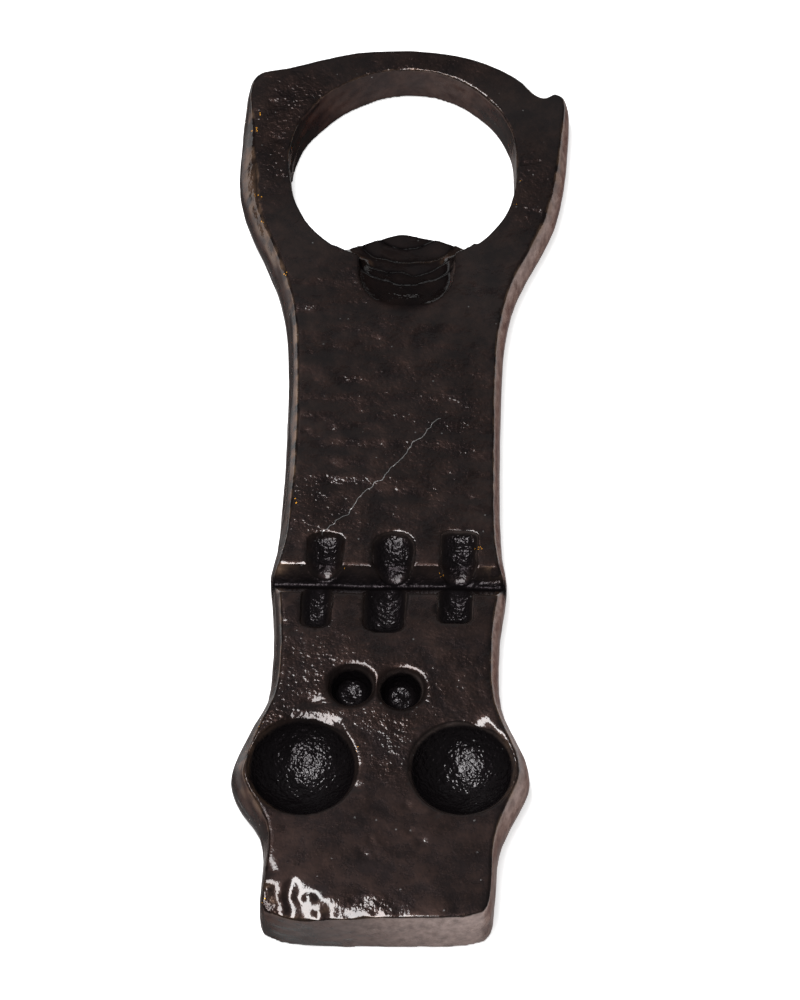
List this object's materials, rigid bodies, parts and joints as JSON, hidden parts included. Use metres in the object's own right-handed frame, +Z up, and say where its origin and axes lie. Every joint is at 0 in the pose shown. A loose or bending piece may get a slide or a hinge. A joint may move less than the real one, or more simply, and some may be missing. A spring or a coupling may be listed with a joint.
{
  "type": "bottle opener",
  "caption": "Flat hand-forged steel bottle opener: a ring with a lifting tongue, and a bar handle with a skull face of punch marks at its plain end.",
  "frame": {"origin": "middle of the footprint on the back face, which lies on the table", "axes": "+Y along the opener from its plain end to its ring; +Z up through its thickness, out of the face with the punch marks; +X across its width, to the right when the ring points away from the viewer"},
  "size_m": [0.0508, 0.1523, 0.0092],
  "materials": {
    "forged_steel": "gloss"
  },
  "bodies": {
    "root": {"forged_body": "forged_steel"}
  },
  "joints": []
}
